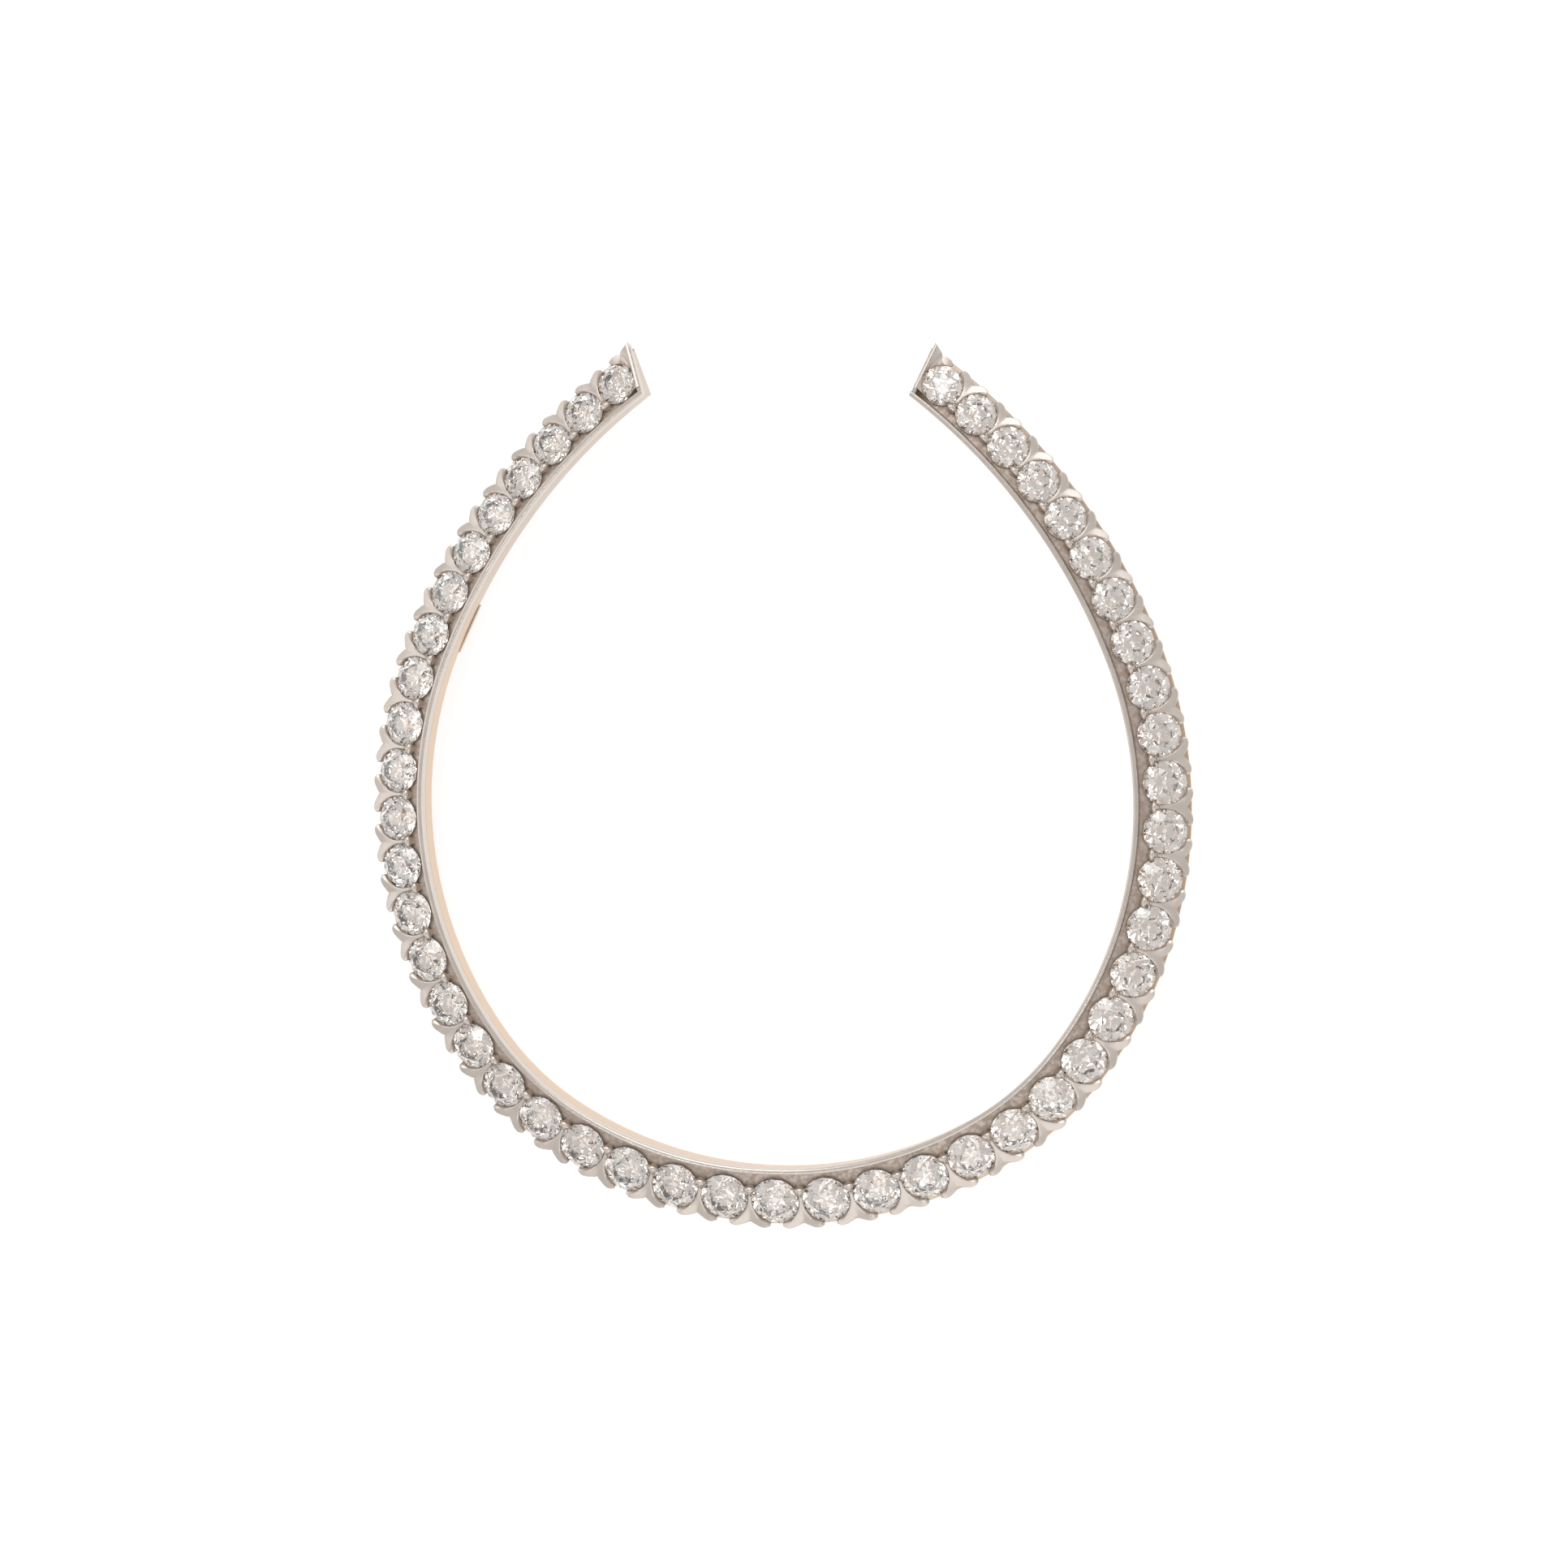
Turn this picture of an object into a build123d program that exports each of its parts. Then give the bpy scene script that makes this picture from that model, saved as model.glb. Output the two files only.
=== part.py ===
from build123d import *
from math import cos, degrees, radians, sin, sqrt, tan
import os

# Horseshoe brooch, lying on its back, open end towards +Y.  Millimetres and degrees.
# The stones sit on one line of tangent arcs, the stone line, which runs from the lowest
# point of the bow up both arms.  A station is a length along that line, counted from the
# lowest point.  "Out" is away from the opening of the shoe, "up" is towards the viewer.

# Driving dimensions of the stone line: bow, haunch, side and arm
bow_radius = 20.66
bow_half_angle = 32.7
haunch_radius = 15.2
haunch_angle = 20.2
side_radius = 21.0
side_angle = 58.9
arm_radius = 31.3

# Driving dimensions of the row of stones
stones_each_side = 23
pitch_at_bow = 2.58
pitch_at_tip = 2.21
girdle_gap = 0.15
stone_tilt = 22.0
turn_between_stones = 17.0

# Cut of a stone, as shares of its girdle radius, and the cutter's two main angles
girdle_thickness = 0.05
table_share = 0.52
crown_angle = 36.0
star_reach = 0.72
pavilion_angle = 42.0
lower_half_reach = 0.50
culet_share = 0.09

# Driving dimensions of the metal
culet_clearance = 0.15
seat_clearance = 0.03
bed_clearance = 0.05
bed_drop = 0.15
bed_thickness = 0.27
solder_gap = 0.02
inside_offset_at_bow = 1.66
inside_offset_at_tip = 1.3
rail_width = 0.24
rail_above_girdle = 0.44
gold_lip = 0.10
bed_set_back = 0.04
seam_angle = 120.0
cutter_margin = 0.30

# Fishtail claws, one between each two stones, and the half claw at each tip
claw_rise = 0.08
claw_reach = 0.20
claw_depth = 0.22
claw_valley = 0.26
arch_half_width = 0.27
claw_corner_round = 0.06
claw_foot_half_width = 0.26
lobe_peak_share = 0.58
lobe_shoulder_share = 0.35
claw_root_share = 0.50

# Half claw and horn at each tip: crest and notch as shares of the way to the end wall
crest_share = 0.50
notch_share = 0.80
crest_start_share = 0.60
notch_reach_share = 0.55
horn_reach = 0.36
horn_width = 0.10
end_claw_root = 0.40

# Grain raised between each two stones, on the inner side
grain_radius = 0.18
grain_gap = 0.06
grain_sink = 0.03

# End walls
tip_margin = 1.24
tip_slant = 15.0
end_wall = 0.20
end_wall_rise = 0.22
end_wall_drop = 0.14

# Pin fitting behind the left arm
fitting_depth = 1.50
hinge_station = 40.2
catch_station = 27.4
hinge_length = 2.6
catch_length = 1.5
foot_width = 1.9
foot_thickness = 0.30
hinge_foot_overhang = 0.06
catch_foot_overhang = -0.12
barrel_radius = 0.62
hinge_barrel_length = 1.5
pin_radius = 0.32
pin_offset = 0.30
pin_point_length = 1.6

# Worked-out sizes of the row of stones
pitches = [
    pitch_at_bow + (pitch_at_tip - pitch_at_bow) * i / (stones_each_side - 1)
    for i in range(stones_each_side)
]
stations = [sum(pitches[:i]) for i in range(stones_each_side + 1)]
tip_station = stations[-1] + tip_margin
spans = [
    pitch_at_bow + (pitch_at_tip - pitch_at_bow) * i / stones_each_side
    for i in range(stones_each_side + 1)
]
stone_radii = [(span - girdle_gap) / 2 for span in spans]
largest_radius = stone_radii[0]
smallest_radius = stone_radii[-1]
tilt = radians(stone_tilt)
pavilion_slope = tan(radians(pavilion_angle))
crown_slope = tan(radians(crown_angle))
half_step = cos(radians(22.5))
crown_share = (1 - table_share) * crown_slope
pavilion_share = (1 - culet_share) * pavilion_slope

# Worked-out heights: the back of the gold is at back_height, above the pin fitting
back_height = fitting_depth
deepest_culet = largest_radius * (pavilion_share + girdle_thickness / 2)
stone_height = back_height + culet_clearance + deepest_culet * cos(tilt)
rail_top = stone_height + largest_radius * sin(tilt) + rail_above_girdle
bed_bottom = -(bed_drop + bed_thickness)
root_depth = -(bed_drop + bed_thickness / 2)
gold_top = bed_bottom - solder_gap

# Worked-out offsets from the stone line to the edges of the metal, at the bow and the tips
gold_offsets = [r * cos(tilt) + gold_lip for r in (largest_radius, smallest_radius)]
bed_offsets = [r * cos(tilt) - bed_set_back for r in (largest_radius, smallest_radius)]
inside_offsets = [-inside_offset_at_bow, -inside_offset_at_tip]
rail_offsets = [offset + rail_width for offset in inside_offsets]

turns = [radians(bow_half_angle), radians(haunch_angle), radians(side_angle)]
radii = [bow_radius, haunch_radius, side_radius, arm_radius]
turns.append((tip_station - sum(r * a for r, a in zip(radii, turns))) / arm_radius)
overrun = radians(4)


def half_line(low_point):
    """Arcs of the right half of the stone line, as (centre x, centre y, radius, first
    heading, last heading), with every joint tangent."""
    arcs = []
    x, y, heading = 0.0, low_point, 0.0
    for radius, turn in zip(radii, turns):
        centre_x = x - radius * sin(heading)
        centre_y = y + radius * cos(heading)
        arcs.append((centre_x, centre_y, radius, heading, heading + turn))
        heading += turn
        x = centre_x + radius * sin(heading)
        y = centre_y - radius * cos(heading)
    return arcs


def on_arc(arc, heading):
    """Point of an arc where the line has this heading."""
    centre_x, centre_y, radius = arc[:3]
    return centre_x + radius * sin(heading), centre_y - radius * cos(heading)


# The shoe is centred on the origin between its lowest claws and its two horns
bow_reach = (largest_radius + claw_reach) * cos(tilt)
horn_offset = (smallest_radius + horn_reach) * cos(tilt)
raw_tip = half_line(0)[-1]
tip_x, tip_y = on_arc(raw_tip, raw_tip[4])
horn_along = horn_offset * tan(radians(tip_slant))
horn_y = tip_y - horn_offset * cos(raw_tip[4]) + horn_along * sin(raw_tip[4])
low_point = -(horn_y - bow_reach) / 2
stone_line = half_line(low_point)


def full_line():
    """Arcs from the left tip to the right tip, the bow as one arc, with the last arc at
    each tip run on past the end wall."""
    bow, *right = stone_line
    x, y, radius, first, last = right[-1]
    right[-1] = (x, y, radius, first, last + overrun)
    left = [(-x, y, r, -last, -first) for x, y, r, first, last in reversed(right)]
    return left + [bow[:3] + (-bow[4], bow[4])] + right


def place(station):
    """Point and heading of the stone line at a station, negative on the left arm."""
    left_over = abs(station)
    for arc in stone_line:
        length = arc[2] * (arc[4] - arc[3])
        if left_over <= length or arc is stone_line[-1]:
            break
        left_over -= length
    heading = arc[3] + left_over / arc[2]
    x, y = on_arc(arc, heading)
    return (x, y, heading) if station >= 0 else (-x, y, -heading)


def offset_at(station, offsets):
    """Offset at a station that goes evenly from the bow to the tips."""
    return offsets[0] + (offsets[1] - offsets[0]) * abs(station) / tip_station


def beside(station, offset, height=0.0):
    """Point at an offset from the stone line, positive outwards, and at a height."""
    x, y, heading = place(station)
    return Vector(x + offset * sin(heading), y - offset * cos(heading), height)


def stone_plane(station, depth=0.0):
    """Plane of a girdle: x back along the row, y out and down, z up out of the stone."""
    x, y, heading = place(station)
    back = Vector(-cos(heading), -sin(heading), 0)
    out = Vector(sin(heading), -cos(heading), 0)
    up = Vector(0, 0, 1) * cos(tilt) + out * sin(tilt)
    return Plane(origin=Vector(x, y, stone_height) + up * depth, x_dir=back, z_dir=up)


def end_plane(side):
    """Slanted plane of a tip: x outwards along the end wall, y up, z against the row."""
    x, y, heading = place(side * tip_station)
    slant = heading + side * radians(tip_slant)
    return Plane(
        origin=(x, y, 0),
        x_dir=(sin(slant), -cos(slant), 0),
        z_dir=(-cos(slant), -sin(slant), 0),
    )


def slanted(offset, depth):
    """Height, at this offset from the stone line, of the slant this deep in the stones."""
    return stone_height - offset * tan(tilt) + depth / cos(tilt)


def seat_radius(depth, radius, clearance):
    """Radius of the cone that just clears a stone's pavilion at this depth below zero."""
    corner = (1 - half_step * lower_half_reach) * pavilion_slope
    slope = corner / (1 - lower_half_reach)
    return radius + clearance + depth / slope


def section_plane(arc):
    """Upright plane across an arc at its first heading: x outwards, y up."""
    x, y = on_arc(arc, arc[3])
    out = (sin(arc[3]), -cos(arc[3]), 0)
    return Plane(origin=(x, y, 0), x_dir=out, z_dir=(-cos(arc[3]), -sin(arc[3]), 0))


def swing(arc):
    """Axis and angle that carry a section from one end of an arc to the other."""
    return Axis((arc[0], arc[1], 0), (0, 0, 1)), degrees(arc[4] - arc[3])


def band_area(at_inside, at_outside):
    """Flat area at the back of the shoe between two lines beside the stone line."""
    arc_ends = [0.0]
    for arc in stone_line:
        arc_ends.append(arc_ends[-1] + arc[2] * (arc[4] - arc[3]))
    arc_ends[-1] += arm_radius * overrun
    joints = [-end for end in reversed(arc_ends[1:])] + arc_ends[1:]
    with BuildSketch(Plane.XY.offset(back_height)) as area:
        with BuildLine():
            for offsets in (at_inside, at_outside):
                for first, last in zip(joints[:-1], joints[1:]):
                    stops = (first, (first + last) / 2, last)
                    ThreePointArc([beside(stop, offset_at(stop, offsets)) for stop in stops])
            for end in (joints[0], joints[-1]):
                Line(beside(end, offset_at(end, at_inside)), beside(end, offset_at(end, at_outside)))
        make_face()
    return area.sketch


def all_stations():
    """Signed stations and radii of every stone, from the left tip to the right tip."""
    left = [(-stations[i], stone_radii[i]) for i in range(stones_each_side, 0, -1)]
    right = [(stations[i], stone_radii[i]) for i in range(stones_each_side + 1)]
    return left + right


# A stone of girdle radius 1 is ground facet by facet from a sixteen-sided blank
def facet_plane(azimuth, points):
    """Plane of a facet through three points given as (azimuth, radius, height)."""
    corners = [
        Vector(r * cos(radians(azimuth + a)), r * sin(radians(azimuth + a)), h)
        for a, r, h in points
    ]
    normal = (corners[1] - corners[0]).cross(corners[2] - corners[0])
    if normal.dot(corners[0]) < 0:
        normal = normal * -1
    return Plane(origin=corners[0], z_dir=normal)


half_girdle = girdle_thickness / 2
star_height = half_girdle + (1 - half_step * star_reach) * crown_slope
table_height = half_girdle + crown_share
lower_depth = -half_girdle - (1 - half_step * lower_half_reach) * pavilion_slope
culet_depth = -half_girdle - pavilion_share
step = 22.5

with BuildPart() as cut_stone:
    with BuildSketch(Plane.XY.offset(culet_depth)):
        RegularPolygon(radius=1, side_count=16)
    extrude(amount=table_height - culet_depth)
    for i in range(8):
        azimuth = 45 * i
        crown_main = [(-step, star_reach, star_height), (step, star_reach, star_height)]
        crown_main.append((0, 1, half_girdle))
        split(bisect_by=facet_plane(azimuth, crown_main), keep=Keep.BOTTOM)
        star = [(0, table_share, table_height), (2 * step, table_share, table_height)]
        star.append((step, star_reach, star_height))
        split(bisect_by=facet_plane(azimuth, star), keep=Keep.BOTTOM)
        lower_main = [(-step, lower_half_reach, lower_depth), (0, 1, -half_girdle)]
        lower_main.append((step, lower_half_reach, lower_depth))
        split(bisect_by=facet_plane(azimuth, lower_main), keep=Keep.BOTTOM)
        for turn in (0, step):
            upper_half = [(turn, 1, half_girdle), (turn + step, 1, half_girdle)]
            upper_half.append((step, star_reach, star_height))
            split(bisect_by=facet_plane(azimuth, upper_half), keep=Keep.BOTTOM)
            lower_half = [(turn, 1, -half_girdle), (turn + step, 1, -half_girdle)]
            lower_half.append((step, lower_half_reach, lower_depth))
            split(bisect_by=facet_plane(azimuth, lower_half), keep=Keep.BOTTOM)


def seat_cutter(station, radius):
    """Space that a stone takes up in the metal, with its clearance, open at the top."""
    crown_top = radius * table_height
    deep = bed_bottom - bed_thickness
    turn = radians(seam_angle)
    upright = Plane(
        origin=(0, 0, 0),
        x_dir=(cos(turn), sin(turn), 0),
        z_dir=(sin(turn), -cos(turn), 0),
    )
    with BuildPart() as cutter:
        with BuildSketch(upright):
            with BuildLine():
                Polyline(
                    (0, deep),
                    (seat_radius(deep + half_girdle * radius, radius, seat_clearance), deep),
                    (radius + seat_clearance, -half_girdle * radius),
                    (radius + seat_clearance, half_girdle * radius),
                    (radius * star_reach + seat_clearance, radius * star_height),
                    (radius * star_reach + seat_clearance, crown_top + rail_above_girdle),
                    (0, crown_top + rail_above_girdle),
                    close=True,
                )
            make_face()
        revolve(axis=Axis.Z)
    return stone_plane(station).location * cutter.part


def claw(first, second):
    """Fishtail claw between two stones given as (station, radius)."""
    station = (first[0] + second[0]) / 2
    half = abs(second[0] - first[0]) / 2
    radius = (first[1] + second[1]) / 2
    corner = half - arch_half_width
    top = radius + claw_reach
    shoulder = top - claw_reach * lobe_shoulder_share
    root = radius * claw_root_share
    with BuildPart() as part:
        with BuildSketch(stone_plane(station, -claw_depth)) as outline:
            with BuildLine():
                for side in (-1, 1):
                    ThreePointArc(
                        (0, top - claw_valley),
                        (side * corner * lobe_peak_share, top),
                        (side * corner, shoulder),
                    )
                    Line((side * corner, shoulder), (side * corner, root))
                Line((-corner, root), (corner, root))
            make_face()
            ends = outline.vertices().group_by(Axis.X)
            fillet([ends[0].sort_by(Axis.Y)[-1], ends[-1].sort_by(Axis.Y)[-1]],
                   radius=claw_corner_round)
        extrude(amount=claw_depth + claw_rise)
        with BuildSketch(stone_plane(station, root_depth)):
            with Locations((0, top - claw_valley)):
                Rectangle(2 * claw_foot_half_width, 2 * claw_foot_half_width,
                          align=(Align.CENTER, Align.MAX))
        extrude(amount=claw_rise - root_depth)
        add(seat_cutter(*first), mode=Mode.SUBTRACT)
        add(seat_cutter(*second), mode=Mode.SUBTRACT)
    return part.part


def end_claw(side):
    """Half claw that hugs the last stone and runs up into the horn of the tip."""
    radius = smallest_radius
    slant = tan(radians(tip_slant))
    horn = radius + horn_reach
    horn_tip = tip_margin + horn * slant
    start = (arch_half_width, radius + claw_reach * crest_start_share)
    crest = (tip_margin * crest_share, radius + claw_reach)
    notch = (tip_margin * notch_share, radius + claw_reach * notch_reach_share)
    corners = [
        notch,
        (horn_tip - horn_width, horn),
        (horn_tip, horn),
        (tip_margin + end_claw_root * slant, end_claw_root),
        (arch_half_width, end_claw_root),
        start,
    ]
    with BuildPart() as part:
        with BuildSketch(stone_plane(side * stations[-1], -claw_depth)):
            with BuildLine():
                ThreePointArc([(-side * x, y) for x, y in (start, crest, notch)])
                Polyline([(-side * x, y) for x, y in corners])
            make_face()
        extrude(amount=claw_depth + claw_rise)
        add(seat_cutter(side * stations[-1], radius), mode=Mode.SUBTRACT)
    return part.part


def grain(first, second):
    """Round grain between two stones, on the side towards the rail."""
    station = (first[0] + second[0]) / 2
    half = abs(second[0] - first[0]) / 2
    reach = (first[1] + second[1]) / 2 + grain_gap + grain_radius
    back = sqrt(max(reach * reach - half * half, 0.0))
    flat = stone_plane(station)
    upright = Plane(origin=flat.origin - flat.y_dir * back, x_dir=flat.x_dir, z_dir=-flat.y_dir)
    shoulder = grain_radius * sqrt(0.5)
    with BuildPart() as part:
        with BuildSketch(upright):
            with BuildLine():
                Polyline(
                    (0, grain_radius - grain_sink),
                    (0, root_depth),
                    (grain_radius, root_depth),
                    (grain_radius, -grain_sink),
                )
                ThreePointArc(
                    (grain_radius, -grain_sink),
                    (shoulder, shoulder - grain_sink),
                    (0, grain_radius - grain_sink),
                )
            make_face()
        revolve(axis=Axis(upright.origin, upright.y_dir))
    return part.part


def below_slant(depth):
    """Everything between the back of the shoe and the slant this deep in the stones."""
    inner = inside_offsets[0] - cutter_margin
    outer = (stone_height + depth / cos(tilt) - back_height) / tan(tilt)
    with BuildPart() as part:
        for arc in full_line():
            with BuildSketch(section_plane(arc)):
                with BuildLine():
                    Polyline(
                        (inner, back_height),
                        (outer, back_height),
                        (inner, slanted(inner, depth)),
                        close=True,
                    )
                make_face()
            axis, angle = swing(arc)
            revolve(axis=axis, revolution_arc=angle)
    return part.part


def end_plate(side):
    """Platinum wall that closes a tip, sloping from the rail down to the horn.  It is run
    on past the end plane, so that one cut makes the whole end face."""
    inner = inside_offsets[1] + rail_width / 2
    outer = smallest_radius * cos(tilt) + claw_reach
    shoulder = rail_top - end_wall_drop
    with BuildPart() as part:
        with BuildSketch(end_plane(side).offset(-side * cutter_margin)):
            with BuildLine():
                Polyline(
                    (inner, slanted(inner, root_depth)),
                    (inner, shoulder),
                    (inner + rail_width, shoulder),
                    (outer, slanted(outer, end_wall_rise)),
                    (outer, slanted(outer, root_depth)),
                    close=True,
                )
            make_face()
        extrude(amount=side * (end_wall + cutter_margin))
        add(seat_cutter(side * stations[-1], smallest_radius), mode=Mode.SUBTRACT)
    return part.part


def beyond_tip(side):
    """Block that starts at the end plane of a tip and takes off what is run on past it."""
    with BuildPart() as part:
        with BuildSketch(end_plane(side)):
            with Locations((0, rail_top)):
                Rectangle(4 * inside_offset_at_bow, 2 * rail_top)
        extrude(amount=-side * (arm_radius * overrun + tip_margin))
    return part.part


row = all_stations()
pairs = list(zip(row[:-1], row[1:]))
tips = [beyond_tip(side) for side in (-1, 1)]
os.makedirs("parts", exist_ok=True)

# Gold back: a band under the whole row, its top slanted, pierced below every stone
with BuildPart() as gold_back:
    add(below_slant(gold_top))
    extrude(band_area(inside_offsets, gold_offsets), amount=rail_top, mode=Mode.INTERSECT)
    for station, radius in row:
        hole = seat_radius(bed_bottom + half_girdle * radius, radius, bed_clearance)
        with Locations(stone_plane(station, gold_top).location):
            Cylinder(radius=hole, height=2 * rail_top, mode=Mode.SUBTRACT)
    add(tips, mode=Mode.SUBTRACT)

gold_back.part.label = "gold_back"
export_step(gold_back.part, "parts/gold_back.step")

# Platinum bed: the slanted sheet under the girdles, between the inner wall and the claws
with BuildPart() as bed:
    add(below_slant(-bed_drop))
    extrude(band_area(inside_offsets, bed_offsets), amount=rail_top, mode=Mode.INTERSECT)

# Platinum setting: the pierced bed, a raised inner rail, end walls, claws and grains
with BuildPart() as platinum_setting:
    extrude(band_area(inside_offsets, rail_offsets), amount=rail_top - back_height)
    add(bed.part)
    add(below_slant(bed_bottom), mode=Mode.SUBTRACT)
    for station, radius in row:
        hole = seat_radius(half_girdle * radius - bed_drop, radius, bed_clearance)
        with Locations(stone_plane(station, -bed_drop).location):
            Cylinder(radius=hole, height=4 * bed_thickness, mode=Mode.SUBTRACT)
    add([end_plate(side) for side in (-1, 1)])
    add([claw(*pair) for pair in pairs] + [end_claw(side) for side in (-1, 1)])
    add([grain(*pair) for pair in pairs])
    add(tips, mode=Mode.SUBTRACT)

platinum_setting.part.label = "platinum_setting"
export_step(platinum_setting.part, "parts/platinum_setting.step")

# Pin fitting: two feet on the gold, the hinge barrel, and the pin fastened in its catch
hinge_end = beside(-hinge_station, pin_offset, barrel_radius)
catch_end = beside(-catch_station, pin_offset, barrel_radius)
pin_length = (catch_end - hinge_end).length
pin_way = (catch_end - hinge_end).normalized()
across = pin_way.cross(Vector(0, 0, 1))
pin_plane = Plane(origin=hinge_end, x_dir=pin_way, z_dir=across)
catch_plane = Plane(origin=catch_end, x_dir=-across, z_dir=pin_way)
neck_height = back_height - barrel_radius - foot_thickness / 2

with BuildPart() as pin_fitting:
    for station, length, overhang in (
        (-hinge_station, hinge_length, hinge_foot_overhang),
        (-catch_station, catch_length, catch_foot_overhang),
    ):
        inner_edge = offset_at(station, inside_offsets) - overhang
        foot_plane = Plane(
            origin=beside(station, inner_edge, back_height - solder_gap),
            x_dir=(beside(station, 1, 0) - beside(station, 0, 0)),
            z_dir=(0, 0, -1),
        )
        with BuildSketch(foot_plane):
            Rectangle(foot_width, length, align=(Align.MIN, Align.CENTER))
        extrude(amount=foot_thickness)
    with BuildSketch(pin_plane):
        Circle(barrel_radius)
        Rectangle(2 * barrel_radius, neck_height, align=(Align.CENTER, Align.MIN))
    extrude(amount=hinge_barrel_length / 2, both=True)
    with BuildSketch(catch_plane):
        Circle(barrel_radius)
        Rectangle(2 * pin_radius, neck_height, align=(Align.CENTER, Align.MIN))
    extrude(amount=catch_length / 2, both=True)
    with BuildSketch(pin_plane):
        with BuildLine():
            Polyline(
                (0, 0),
                (0, pin_radius),
                (pin_length + catch_length / 2, pin_radius),
                (pin_length + catch_length / 2 + pin_point_length, 0),
                close=True,
            )
        make_face()
    revolve(axis=Axis(hinge_end, pin_way))

pin_fitting.part.label = "pin_fitting"
export_step(pin_fitting.part, "parts/pin_fitting.step")

# Stones: one cut, scaled to each girdle, seated from the left tip to the right tip, and
# each turned in its seat, because a setter doesn't line up the facets
for number, (station, radius) in enumerate(row, start=1):
    with BuildPart() as stone:
        add(cut_stone.part, rotation=(0, 0, turn_between_stones * number))
        scale(by=radius)
    seated = stone_plane(station).location * stone.part
    seated.label = f"stone_{number:02d}"
    export_step(seated, f"parts/{seated.label}.step")
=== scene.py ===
import bpy
import math
import numpy as np
from mathutils import Matrix, Vector


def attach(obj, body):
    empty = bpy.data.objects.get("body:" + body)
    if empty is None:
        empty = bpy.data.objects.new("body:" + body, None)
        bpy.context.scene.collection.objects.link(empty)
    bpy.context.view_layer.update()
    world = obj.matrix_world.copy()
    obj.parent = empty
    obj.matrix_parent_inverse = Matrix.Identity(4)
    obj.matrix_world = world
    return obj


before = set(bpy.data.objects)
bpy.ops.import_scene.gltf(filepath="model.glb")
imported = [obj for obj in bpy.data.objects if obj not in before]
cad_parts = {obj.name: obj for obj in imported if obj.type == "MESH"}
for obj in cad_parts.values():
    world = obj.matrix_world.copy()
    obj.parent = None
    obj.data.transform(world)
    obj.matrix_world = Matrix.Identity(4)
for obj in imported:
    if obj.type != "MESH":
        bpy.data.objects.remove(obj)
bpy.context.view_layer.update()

# The gold back is the yellow gold band that carries the brooch: rolled sheet, bent edgewise
# into the shoe, drilled through below every stone and soldered under the platinum. Its wall
# has gone rosy with wear, and grey towards the tips, where the platinum was drawn over it.
mm = 0.001


class Wire:
    """One socket of a shader tree. Arithmetic on wires adds the Math nodes for it."""

    def __init__(self, tree, socket=None):
        self.tree = tree
        self.socket = socket

    def node(self, kind, settings=None, sockets=None, out=0):
        """A new node: its settings first, then the values or links of its sockets."""
        made = self.tree.nodes.new(kind)
        for name, value in (settings or {}).items():
            if name == "stops":
                ramp = made.color_ramp
                while len(ramp.elements) < len(value):
                    ramp.elements.new(1.0)
                for element, (place, colour) in zip(ramp.elements, value):
                    element.position = place
                    element.color = (*colour, 1.0)
            else:
                setattr(made, name, value)
        for name, value in (sockets or {}).items():
            if isinstance(value, Wire):
                self.tree.links.new(value.socket, made.inputs[name])
            else:
                made.inputs[name].default_value = value
        return Wire(self.tree, made.outputs[out])

    def maths(self, operation, first, second):
        """The Math node for one step of arithmetic."""
        return self.node("ShaderNodeMath", {"operation": operation}, {0: first, 1: second})

    def __add__(self, other):
        return self.maths("ADD", self, other)

    def __mul__(self, other):
        return self.maths("MULTIPLY", self, other)

    def __rsub__(self, other):
        return self.maths("SUBTRACT", other, self)

    __radd__ = __add__
    __rmul__ = __mul__

    def blend(self, low, high):
        """Colour that goes from low to high as this wire goes from 0 to 1.

        The Mix node's colour sockets go by number, because its other kinds share their names.
        """
        return self.node("ShaderNodeMix", {"data_type": "RGBA"}, {0: self, 6: low, 7: high}, out=2)

    def stretch(self, start, end, low, high):
        """This wire's run from start to end laid over low to high, and held beyond both."""
        return self.node("ShaderNodeMapRange", sockets={
            "Value": self, "From Min": start, "From Max": end, "To Min": low, "To Max": high})

    def noise(self, scale, detail, **others):
        """Soft noise at the places that this wire gives, with this many swirls to a metre."""
        return self.node("ShaderNodeTexNoise", sockets={
            "Vector": self, "Scale": scale, "Detail": detail, **others})


def new_finish(name):
    """A material with its surface shader, and the wire that its other nodes start from."""
    material = bpy.data.materials.new(name)
    material.use_nodes = True
    tree = material.node_tree
    return material, tree.nodes["Principled BSDF"], Wire(tree)


def openness(start, reach):
    """How open each place is, within this reach: 0 deep in a corner, 1 on bare metal."""
    return start.node("ShaderNodeAmbientOcclusion", {"samples": 8}, {"Distance": reach}, out="AO")


def scratched(start, scratches, strength):
    """The lie of a metal surface with fine scratches on it and its edges worn round."""
    worn_edge = start.node("ShaderNodeBevel", {"samples": 4}, {"Radius": 0.05 * mm})
    return start.node("ShaderNodeBump", sockets={
        "Strength": strength, "Distance": 0.01 * mm, "Height": scratches, "Normal": worn_edge})


def feed(shader, wires):
    """Links each wire to the shader's socket of that name."""
    for name, wire in wires.items():
        wire.tree.links.new(wire.socket, shader.inputs[name])


def dress(node, material):
    """Gives a node of the frame its finish."""
    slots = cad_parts[node].data.materials
    slots.clear()
    slots.append(material)


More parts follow.
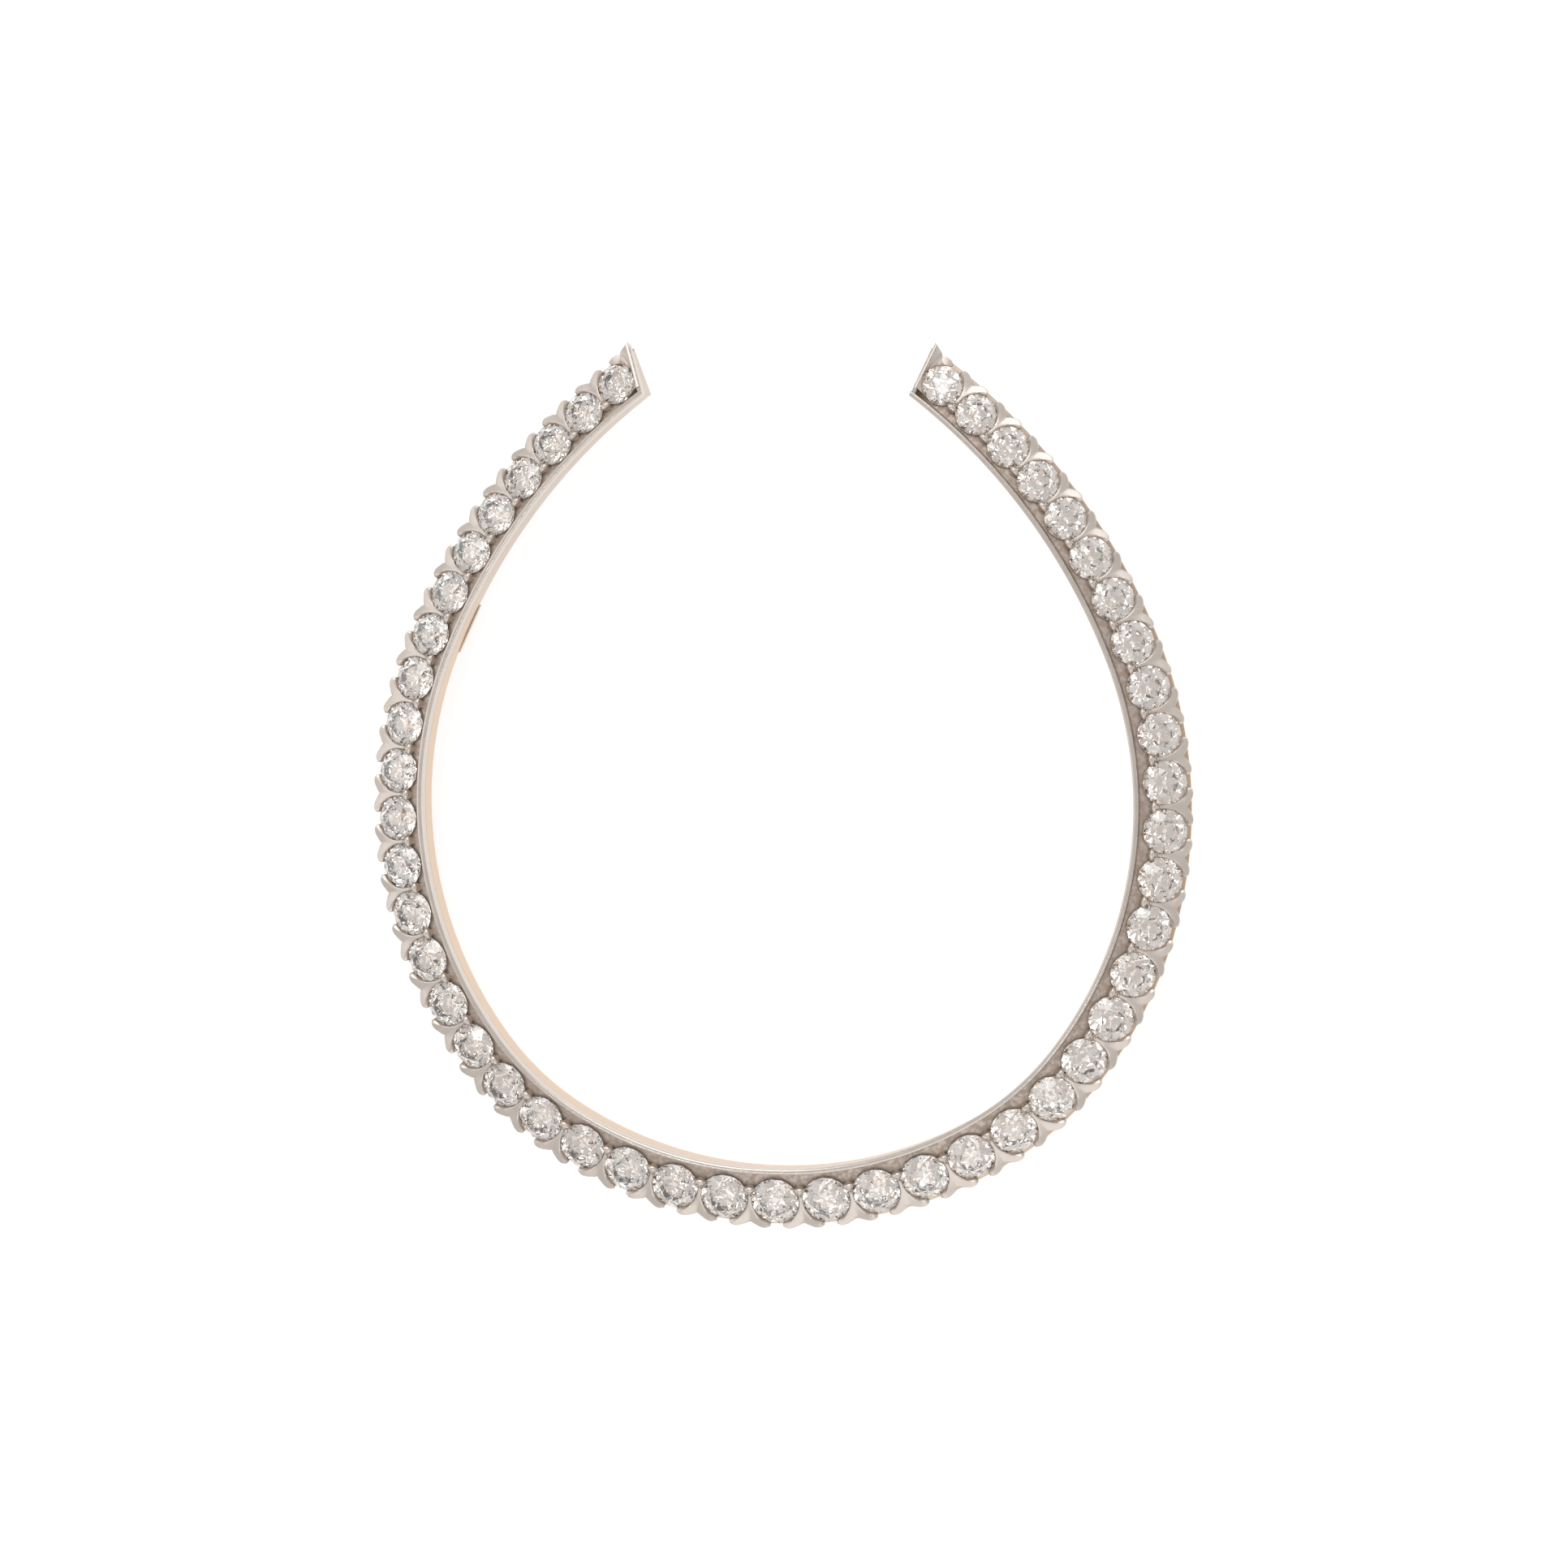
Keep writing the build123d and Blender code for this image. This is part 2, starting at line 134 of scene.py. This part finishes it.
rosy_gold = (0.75, 0.525, 0.35, 1.0)
pale_gold = (0.73, 0.60, 0.465, 1.0)
platinum_smear = (0.58, 0.49, 0.42, 1.0)
corner_shade_and_dirt_brown = (0.30, 0.17, 0.09, 1.0)
smear_starts = 6.0 * mm
smear_full = 13.0 * mm
smear_strength = 0.75
corner_shade_and_dirt_share = 0.7
gold, gold_shader, start = new_finish("worn_gold")
gold_shader.inputs["Metallic"].default_value = 1.0
place = start.node("ShaderNodeTexCoord", out="Object")
patches = place.noise(scale=900.0, detail=3.0)
scratches = place.noise(scale=9000.0, detail=4.0)
towards_tips = start.node("ShaderNodeSeparateXYZ", sockets={"Vector": place}, out="Y")
smear = towards_tips.stretch(smear_starts, smear_full, low=0.0, high=smear_strength)
skin = smear.blend(patches.blend(rosy_gold, pale_gold), platinum_smear)
# Painted shade: the gold's corners and hollows, where little light reaches, are painted dark
# brown, which stands for some dirt as well.
shade_and_dirt = (1 - openness(start, reach=0.5 * mm)) * corner_shade_and_dirt_share
feed(gold_shader, {
    "Base Color": shade_and_dirt.blend(skin, corner_shade_and_dirt_brown),
    "Roughness": 0.24 + patches * 0.14,
    "Normal": scratched(start, scratches, strength=0.25),
})
dress("gold_back", gold)

# The pin fitting is gold too: two feet soldered across the back of the band, the hinge, the
# pin and its catch. From the front only the end of one foot shows, inside the left arm.
dress("pin_fitting", gold)

# The platinum setting is one piece: sheet sawn out under the stones, with the fishtail
# claws, the beads between the stones and the raised inner rail filed up from it.
# It is satin from wear. Its corners and cuts have painted shade and some dirt in a dull brown, and
# its slanted bed is painted a darker brown.
dark_platinum = (0.64, 0.565, 0.505, 1.0)
light_platinum = (0.735, 0.665, 0.605, 1.0)
shade_and_grime_brown = (0.44, 0.335, 0.265, 1.0)
platinum_corner_shade_and_grime = 0.85
shade_and_grime_on_metal = 0.75
black, white = (0, 0, 0), (1, 1, 1)
bed_slant = [(0.86, black), (0.90, white), (0.955, white), (0.985, black)]


def satin_platinum(name, bed_darkening, dullness):
    """Worn platinum with painted shade in its corners: how much darker its slanted bed faces are
    painted, and how dull it is.
    """
    material, shader, start = new_finish(name)
    place = start.node("ShaderNodeTexCoord", out="Object")
    clouds = place.noise(scale=1500.0, detail=3.0)
    scratches = place.noise(scale=14000.0, detail=4.0)
    # Painted shade: corners and cuts, where little light reaches, are painted a dull brown and
    # made less metallic, which stands for some dirt as well.
    corners = openness(start, reach=0.4 * mm)
    shade_and_dirt = corners.stretch(0.1, 0.7, low=platinum_corner_shade_and_grime, high=0.0)
    # Faces that slant like the bed are painted a darker brown, broken up by noise.
    if bed_darkening:
        facing = start.node("ShaderNodeNewGeometry", out="True Normal")
        upward = start.node("ShaderNodeSeparateXYZ", sockets={"Vector": facing}, out="Z")
        slant = start.node("ShaderNodeValToRGB", {"stops": bed_slant}, {"Fac": upward})
        cuts = place.noise(scale=4200.0, detail=2.0, Roughness=0.6)
        slant_darkening = slant * cuts.stretch(0.42, 0.62, low=1.0, high=0.35) * bed_darkening
        shade_and_dirt = start.maths("MAXIMUM", shade_and_dirt, slant_darkening)
    feed(shader, {
        "Base Color": shade_and_dirt.blend(clouds.blend(dark_platinum, light_platinum), shade_and_grime_brown),
        "Metallic": 1 - shade_and_dirt * shade_and_grime_on_metal,
        "Roughness": dullness + clouds * 0.14 + shade_and_dirt * 0.15,
        "Normal": scratched(start, scratches, strength=0.3),
    })
    return material


dress("platinum_setting", satin_platinum("darkened_platinum", bed_darkening=0.85, dullness=0.27))

# The fishtail claws: each is cut down the middle with a graver, from the notch to the web
# between the stones, so its two lobes slope to a bright crease, and its edges are burnished
# over the stones. They lie on the setting's own claws. From here on sizes are millimetres.
satin = satin_platinum("satin_platinum", bed_darkening=0.0, dullness=0.26)

# The line of the stones from the middle of the bow: each arc's radius and degrees.
row_arcs = [(20.66, 32.7), (15.2, 20.2), (21.0, 58.9), (31.3, 60.0)]
low_point = -20.4963
girdle_height = 2.6012
lean = math.radians(22.0)
stones_each_side = 23
pitch_at_bow = 2.58
pitch_at_tip = 2.21
stone_spacing = 0.15


def on_row(station):
    """Point and heading of the line of stones, this far from the middle of the bow."""
    x, y, heading, left = 0.0, low_point, 0.0, abs(station)
    for radius, degrees in row_arcs:
        turn = min(left / radius, math.radians(degrees))
        x += radius * (math.sin(heading + turn) - math.sin(heading))
        y += radius * (math.cos(heading) - math.cos(heading + turn))
        heading += turn
        left -= radius * turn
        if left < 1e-9:
            break
    side = 1 if station >= 0 else -1
    return side * x, y, side * heading


def seat(station, points):
    """Points given as (x back along the row, y outwards, z out of the stone), set there."""
    x, y, heading = on_row(station)
    back = np.array((-math.cos(heading), -math.sin(heading), 0))
    out = np.array((math.sin(heading), -math.cos(heading), 0))
    upward = np.array((0, 0, math.cos(lean))) + out * math.sin(lean)
    outward = np.cross(upward, back)
    points = np.asarray(points, float)
    placed = (np.array((x, y, girdle_height)) + points[..., :1] * back
              + points[..., 1:2] * outward + points[..., 2:3] * upward)
    return placed * mm


# The row holds each stone's station and girdle radius, from the left tip to the right.
pitch_change = pitch_at_tip - pitch_at_bow
steps = [pitch_at_bow + pitch_change * i / (stones_each_side - 1) for i in range(stones_each_side)]
half_row = [sum(steps[:i]) for i in range(stones_each_side + 1)]
girdles = [(pitch_at_bow + pitch_change * i / stones_each_side - stone_spacing) / 2
           for i in range(stones_each_side + 1)]
row = ([(-half_row[i], girdles[i]) for i in range(stones_each_side, 0, -1)]
       + list(zip(half_row, girdles)))


def along(points, count):
    """This many points spaced evenly along a polyline."""
    points = np.asarray(points, float)
    run = np.concatenate(([0], np.cumsum(np.linalg.norm(np.diff(points, axis=0), axis=1))))
    stops = np.linspace(0, run[-1], count)
    return np.stack([np.interp(stops, run, points[:, axis]) for axis in range(points.shape[1])], 1)


def patch(bottom, right, top, left):
    """Grid of points that fills four edges: bottom and top run from left to right."""
    u = np.linspace(0, 1, len(bottom))[None, :, None]
    v = np.linspace(0, 1, len(left))[:, None, None]
    return ((1 - v) * bottom[None] + v * top[None] + (1 - u) * left[:, None] + u * right[:, None]
            - (1 - u) * (1 - v) * bottom[0] - u * (1 - v) * bottom[-1]
            - (1 - u) * v * top[0] - u * v * top[-1])


def circle(centre_x, radius, start_y, end_x, count):
    """Arc of the circle round the next stone, from a height on it to a place on it."""
    first = math.asin(start_y / radius)
    last = math.acos(min(1.0, (centre_x - end_x) / radius))
    angles = np.linspace(first, last, count)
    return np.stack([centre_x - radius * np.cos(angles), radius * np.sin(angles)], 1)


def near(points, line):
    """Distance of each point of a grid to a polyline."""
    best = np.full(points.shape[:2], np.inf)
    for a, b in zip(line[:-1], line[1:]):
        way = b - a
        share = np.clip(((points - a) @ way) / (way @ way + 1e-12), 0, 1)
        best = np.minimum(best, np.linalg.norm(points - a - share[..., None] * way, axis=2))
    return best


rim_share = 0.955
rim_extra = 0.035


def rim_on_stone(radius):
    """Where the burnished edge of a claw lies on a stone of this girdle radius."""
    return radius * rim_share + rim_extra


class Shell:
    """Grids of points gathered into one mesh."""

    def __init__(self):
        self.points = []
        self.faces = []

    def add(self, grid, flip=False, ring=False):
        """Adds a grid of placed points, closed on itself where it is a ring."""
        rows, columns = grid.shape[:2]
        first = len(self.points)
        self.points.extend(map(tuple, grid.reshape(-1, 3)))
        for here in range(first, first + (rows - 1) * columns, columns):
            beyond = here + columns
            for a in range(columns if ring else columns - 1):
                b = (a + 1) % columns
                face = [here + a, here + b, beyond + b, beyond + a]
                self.faces.append(face[::-1] if flip else face)

    def piece(self, name, material, smooth):
        """The gathered mesh as a piece that rides on the brooch, smooth up to this angle."""
        mesh = bpy.data.meshes.new(name)
        mesh.from_pydata(self.points, [], self.faces)
        mesh.materials.append(material)
        made = bpy.data.objects.new(name, mesh)
        bpy.context.scene.collection.objects.link(made)
        weld = made.modifiers.new("weld", "WELD")
        weld.merge_threshold = 0.0004 * mm
        bpy.context.view_layer.objects.active = made
        bpy.ops.object.modifier_apply(modifier="weld")
        mesh.shade_smooth()
        mesh.set_sharp_from_angle(angle=math.radians(smooth))
        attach(made, "root")


claw_reach = 0.24
claw_notch = 0.30
girdle_shown = 0.25
lobe_peak = 0.58
lobe_shoulder = 0.40
lobe_points_across = 9
lobe_points_along = 26
crease_rise = 0.115
crease_width = 0.75
crease_starts = 0.35
crease_run = 0.5
claw_height = 0.10
web_start = -0.60
web_run = 0.9
web_height = 0.02
edge_round = 0.05
edge_drop = 0.4
edge_thinning = 0.7
skirt_middle_height = 0.03
skirt_foot_height = -0.10
skirt_gap = 0.012
part_way = np.linspace(0, 1, 12)[:, None]
claw_faces = Shell()
for (first, first_radius), (second, second_radius) in zip(row[:-1], row[1:]):
    half = (second - first) / 2
    radius = (first_radius + second_radius) / 2
    corner = half - girdle_shown
    top = radius + claw_reach
    notch = top - claw_notch

    # One lobe's outline: down the stone's side, round the crest and along the middle cut.
    side_line = circle(half, rim_on_stone(radius), web_start, corner, 3 * lobe_points_along)
    notch_foot = np.array((0.0, notch))
    peak = np.array((corner * lobe_peak, top))
    shoulder = np.array((corner, top - claw_reach * lobe_shoulder))
    bend = 2 * peak - (notch_foot + shoulder) / 2
    crest = ((1 - part_way) ** 2 * notch_foot + 2 * part_way * (1 - part_way) * bend
             + part_way ** 2 * shoulder)
    outer = np.concatenate([crest, side_line[-1:]])
    lobe = patch(along([(0, web_start), (side_line[0][0], web_start)], lobe_points_across),
                 along(side_line, lobe_points_along),
                 along(outer, lobe_points_across),
                 along([(0, web_start), (0, notch)], lobe_points_along))

    # Its height: up from the web, up from the crease to the side, and down at the edges.
    to_edge = np.minimum(near(lobe, side_line), near(lobe, outer))
    slope = np.clip(lobe[..., 0] / crease_width, 0, 1)
    opening = np.clip((lobe[..., 1] - crease_starts * radius) / (crease_run * radius), 0, 1)
    web = np.clip((lobe[..., 1] - web_start) / web_run, 0, 1)
    height = web_height + (claw_height - web_height) * web + crease_rise * slope * opening
    fall = 1 - np.clip(to_edge / edge_round, 0, 1)
    height = height - (edge_drop * edge_round
                       + edge_thinning * crease_rise * slope * opening) * fall ** 2
    lobe = np.concatenate([lobe, height[..., None]], 2)

    # The walls under its edges, down to the girdle and just clear of it.
    skirt_top = np.concatenate([lobe[:, -1], lobe[-1, ::-1][1:]])
    skirt_foot = skirt_top.copy()
    skirt_foot[:, 2] = skirt_foot_height
    centre = np.array((half, 0.0))
    away = skirt_foot[:lobe_points_along, :2] - centre
    away *= (radius + skirt_gap) / np.linalg.norm(away, axis=1)[:, None]
    skirt_foot[:lobe_points_along, :2] = centre + away
    skirt_foot[lobe_points_along:, 1] -= skirt_gap
    skirt_middle = skirt_foot.copy()
    skirt_middle[:, 2] = skirt_middle_height
    skirt = np.stack([skirt_top, skirt_middle, skirt_foot])
    for side in (-1, 1):
        for part, flip in ((lobe, False), (skirt, True)):
            claw_faces.add(seat((first + second) / 2, part * (side, 1, 1)),
                           flip=(side < 0) != flip)
claw_faces.piece("fishtail_claws", satin, smooth=28)

# The ends of the row: at each tip the last claw runs up into a pointed horn, and the wall
# that closes the tip is filed down in one flat wing to the last stone, with its top edge
# left standing as a narrow bright strip.
wall_distance = 1.24
wall_slant = math.tan(math.radians(15.0))
last_radius = girdles[-1]
last_rim = rim_on_stone(last_radius)
horn_y = last_radius + 0.36
wing_rows = 24
wing_columns = 14
lobe_rows = 8
rim_height = 0.065
wing_from, lobe_from, lobe_to = -86, 50, 75
lobe_rise = 0.06
foot_height = -0.08
strip_width = 0.13
strip_points = 30
strip_depth = 0.25

# Along the wing's edge at the wall and along the strip's top: place outwards, height.
wing_edge = [(-1.02, 0.40), (0.4, 0.26), (horn_y - 0.03, 0.19)]
strip_crown = [(-1.12, 0.42), (0.4, 0.27), (horn_y, 0.20)]

# Across the strip, from its inner edge to the wall's face: set in from that face, rise.
strip_profile = [(0.126, 0.030), (0.120, 0.052), (0.090, 0.042), (0.060, 0.030), (0.030, 0.018),
                 (0.002, 0.006), (-0.004, -0.015)]

# Between horn and lobe, and along the lobe's crest: back along the row, past the girdle, height.
horn_side = (1.04, 0.20, 0.16)
crest_places = [(0.96, 0.12, 0.10), (0.80, 0.19, 0.14), (0.60, 0.21, 0.18), (0.42, 0.18, 0.21),
                (0.28, 0.11, 0.20)]


def on_wall(y, inset, height):
    """Point on the end wall at this distance outwards, set in from its face."""
    return wall_distance + y * wall_slant - inset, y, height


def past_girdle(place):
    """Point given by how far past the last stone's girdle it is."""
    x, past, height = place
    return x, last_radius + past, height


def round_edge(first, last, count):
    """Points on the last stone's rim between two angles in degrees."""
    angles = np.radians(np.linspace(first, last, count))
    return np.stack([last_rim * np.cos(angles), last_rim * np.sin(angles),
                     np.full(count, rim_height)], 1)


# The wing, from the wall to the last stone, and the lobe on from there.
wing_left = along([on_wall(y, strip_width, height) for y, height in wing_edge], wing_rows)
wing_right = round_edge(wing_from, lobe_from, wing_rows)
notch_point = past_girdle(crest_places[0])
wing_top = along([wing_left[-1], past_girdle(horn_side), notch_point, wing_right[-1]],
                 wing_columns)
wing = patch(along([wing_left[0], wing_right[0]], wing_columns), wing_right, wing_top, wing_left)
lobe_rim = round_edge(lobe_from, lobe_to, wing_columns)
lobe_rim[:, 2] += np.linspace(0, lobe_rise, wing_columns)
lobe_crest = along([past_girdle(place) for place in crest_places], wing_columns)
lobe = patch(lobe_rim, along([lobe_rim[-1], lobe_crest[-1]], lobe_rows), lobe_crest,
             along([lobe_rim[0], lobe_crest[0]], lobe_rows))

# The walls under them: along the stone, round the lobe, and back along the wing's top edge.
before_notch = wing_top[:8]
outline = np.concatenate([wing[:, -1], lobe_rim[1:], lobe[1:, -1], lobe_crest[::-1][1:],
                          before_notch[::-1]])
by_stone = len(wing) + len(lobe_rim) - 1
foot = outline.copy()
foot[:, 2] = foot_height
lengths = np.linalg.norm(foot[:by_stone, :2], axis=1)[:, None]
foot[:by_stone, :2] *= (last_radius + skirt_gap) / lengths
foot[by_stone:, 1] -= skirt_gap
wing_skirt = np.stack([outline, foot])

# The strip, and the walls down from its two long edges.
strip_ys = np.linspace(strip_crown[0][0], horn_y, strip_points)
crown = np.interp(strip_ys, *zip(*strip_crown))
strip = np.stack([np.stack(on_wall(strip_ys, inset, rise + crown), 1)
                  for inset, rise in strip_profile])
inner_skirt, outer_skirt = [np.stack([edge, edge - (0, 0, strip_depth)])
                            for edge in (strip[0], strip[-1])]
tip_faces = Shell()
strip_faces = Shell()
for side in (-1, 1):
    for shell, part, flip in ((tip_faces, wing, True), (tip_faces, lobe, True),
                              (tip_faces, wing_skirt, False), (strip_faces, strip, True),
                              (strip_faces, inner_skirt, False), (strip_faces, outer_skirt, True)):
        shell.add(seat(side * half_row[-1], part * (-side, 1, 1)), flip=(side < 0) != flip)
tip_faces.piece("tip_wings", satin, smooth=28)
bright = satin_platinum("burnished_platinum", bed_darkening=0.0, dullness=0.16)
strip_faces.piece("tip_strips", bright, smooth=60)

# The beads: small grains of metal raised with a graver between each two stones on their
# inner side, and rounded with a beading tool, the biggest nearest to the rail.
bead_clearance = 0.24
first_bead_outwards = 0.02
later_beads = [-0.46, -0.26]
bead_turns = np.radians(np.arange(0, 360, 30))
bead_tilts = np.radians((-25, 0, 25, 50, 72, 89.5))

# Half width, half depth, height and lift off the bed of each bead, from the rail outwards.
bead_sizes = [(0.32, 0.18, 0.22, 0.10), (0.14, 0.12, 0.12, 0.08), (0.08, 0.08, 0.08, 0.08)]
beads = Shell()
for (first, first_radius), (second, second_radius) in zip(row[:-1], row[1:]):
    half = (second - first) / 2
    reach = (first_radius + second_radius) / 2 + bead_clearance
    first_bead = first_bead_outwards - math.sqrt(reach * reach - half * half)
    for y, (wide, deep, high, lift) in zip([first_bead] + later_beads, bead_sizes):
        rings = [[(wide * math.cos(tilt) * math.cos(turn),
                   y + deep * math.cos(tilt) * math.sin(turn),
                   lift + high * math.sin(tilt)) for turn in bead_turns] for tilt in bead_tilts]
        beads.add(seat((first + second) / 2, rings), ring=True)
beads.piece("grain_beads", bright, smooth=80)

# The rail: a raised edge of the same platinum along the inside of the shoe, filed up round
# from the sheet and burnished bright. It lies on the setting's own rail.
inside_at_bow = -1.66
inside_at_tip = -1.30
rail_width = 0.24
rail_top = 3.4964
rail_rise = 0.08
rail_half = 0.128
rail_fullness = 0.8
rail_foot = -0.06
rail_stops = 361
tip_station = half_row[-1] + wall_distance
rail_profile = [(rail_half * math.cos(angle), rail_rise * math.sin(angle) ** rail_fullness)
                for angle in np.radians(np.linspace(0.5, 179.5, 11))]
rail_profile = [(rail_half, rail_foot)] + rail_profile + [(-rail_half, rail_foot)]
rail_points = []
for from_bow in np.linspace(-1, 1, rail_stops):
    middle = (inside_at_bow + (inside_at_tip - inside_at_bow) * abs(from_bow)
              + rail_width / 2)
    line = []
    for across, rise in rail_profile:
        offset = middle + across
        x, y, heading = on_row(from_bow * (tip_station + offset * wall_slant))
        line.append((x + offset * math.sin(heading), y - offset * math.cos(heading),
                     rail_top + rise))
    rail_points.append(line)
rail = Shell()
rail.add(np.array(rail_points) * mm, flip=True)
rail.piece("burnished_rail", bright, smooth=60)

# The stones are old European cut diamonds, ground and polished by hand, each with a
# small table and an open culet. They are set one by one, and no two are quite alike.
stone_count = 2 * stones_each_side + 1
clear_diamond = (0.985, 0.925, 0.87, 1.0)
for number in range(1, stone_count + 1):
    stone = f"stone_{number:02d}"
    warmth = math.sin(number * 12.9898) * 0.5 + 0.5
    warm_tint_and_reflection = (0.94 - 0.02 * warmth, 0.79 - 0.04 * warmth, 0.69 - 0.06 * warmth, 1.0)
    diamond, diamond_shader, start = new_finish(f"diamond_{number:02d}")
    diamond_shader.inputs["Transmission Weight"].default_value = 0.95
    diamond_shader.inputs["IOR"].default_value = 2.417
    diamond_shader.inputs["Roughness"].default_value = 0.0
    place = start.node("ShaderNodeTexCoord", out="Object")
    # Each stone is tinted warm in soft patches: partly its own faint body colour, and partly a
    # painted reflection of the gold around it.
    body = place.noise(scale=1600.0, detail=3.0, Distortion=1.5)
    tint_and_reflection_patches = body.stretch(0.32, 0.58, low=0.0, high=1.0)
    wear = start.node("ShaderNodeTexVoronoi", sockets={"Vector": place, "Scale": 3800.0})
    feed(diamond_shader, {
        "Base Color": tint_and_reflection_patches.blend(warm_tint_and_reflection, clear_diamond),
        "Normal": start.node("ShaderNodeBump", sockets={
            "Strength": 0.28, "Distance": 0.012 * mm, "Height": wear}),
    })
    dress(stone, diamond)
    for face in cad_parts[stone].data.polygons:
        face.use_smooth = False

# The studio: a plain white table, three big soft boxes, three small lamps that make the
# stones sparkle, and a bright room. Its sizes are metres.
floor_half = 0.6
floor_mesh = bpy.data.meshes.new("floor")
floor_mesh.from_pydata(
    [(-floor_half, -floor_half, 0), (floor_half, -floor_half, 0),
     (floor_half, floor_half, 0), (-floor_half, floor_half, 0)], [], [(0, 1, 2, 3)])
floor = bpy.data.objects.new("floor", floor_mesh)
bpy.context.scene.collection.objects.link(floor)
paper, paper_shader, start = new_finish("white_paper")
paper_shader.inputs["Base Color"].default_value = (0.42, 0.42, 0.42, 1.0)
paper_shader.inputs["Roughness"].default_value = 0.9
paper_shader.inputs["Emission Color"].default_value = (1.0, 1.0, 1.0, 1.0)
paper_shader.inputs["Emission Strength"].default_value = 0.74
floor_mesh.materials.append(paper)

# Each lamp's name, place, width and power. All face the brooch.
lamps = [("key_lamp", (0.0, 0.50, 0.50), 0.46, 1.0),
         ("fill_lamp", (-0.50, 0.05, 0.42), 0.40, 0.28),
         ("front_lamp", (0.05, -0.50, 0.40), 0.40, 0.30),
         ("spark_lamp", (-0.10, 0.30, 0.60), 0.05, 0.06),
         ("low_spark_lamp", (0.15, -0.22, 0.60), 0.06, 0.10),
         ("left_spark_lamp", (-0.20, -0.28, 0.58), 0.06, 0.10)]
for name, spot, width, power in lamps:
    light = bpy.data.lights.new(name, "AREA")
    light.shape = "SQUARE"
    light.size = width
    light.energy = power
    lamp = bpy.data.objects.new(name, light)
    bpy.context.scene.collection.objects.link(lamp)
    lamp.location = spot
    lamp.rotation_euler = (-Vector(spot)).to_track_quat("-Z", "Y").to_euler()

world = bpy.data.worlds.new("studio")
bpy.context.scene.world = world
world.use_nodes = True
world.node_tree.nodes["Background"].inputs["Color"].default_value = (1.0, 1.0, 1.0, 1.0)
world.node_tree.nodes["Background"].inputs["Strength"].default_value = 0.68
bpy.context.scene.view_settings.view_transform = "Standard"

# The camera looks almost straight down on the face, 11.5 degrees from the right and
# 3.3 degrees from the open end, as the photograph does.
camera_turn = math.radians(11.5)
camera_lift = math.radians(3.3)
camera_roll = math.radians(0.25)
camera_distance = 325 * mm
pixels_per_mm = 25.0
frame_pixels = 1932
target_pixel_x = 957.66
target = Vector((0, 0.170, 2.601)) * mm
toward = Vector((
    math.sin(camera_turn) * math.cos(camera_lift),
    math.sin(camera_lift),
    math.cos(camera_turn) * math.cos(camera_lift),
))
right = (-toward).cross(Vector((0, 1, 0))).normalized()
up = right.cross(-toward)
rolled_right = right * math.cos(camera_roll) + up * math.sin(camera_roll)
rolled_up = up * math.cos(camera_roll) - right * math.sin(camera_roll)
spot = target + toward * camera_distance
lens = bpy.data.cameras.new("camera")
lens.sensor_width = 36.0
lens.lens = lens.sensor_width * pixels_per_mm * camera_distance / mm / frame_pixels
lens.shift_x = (frame_pixels / 2 - target_pixel_x) / frame_pixels
lens.clip_start = 0.01
camera = bpy.data.objects.new("camera", lens)
bpy.context.scene.collection.objects.link(camera)
camera.matrix_world = Matrix((
    (rolled_right.x, rolled_up.x, toward.x, spot.x),
    (rolled_right.y, rolled_up.y, toward.y, spot.y),
    (rolled_right.z, rolled_up.z, toward.z, spot.z),
    (0, 0, 0, 1),
))
bpy.context.scene.camera = camera
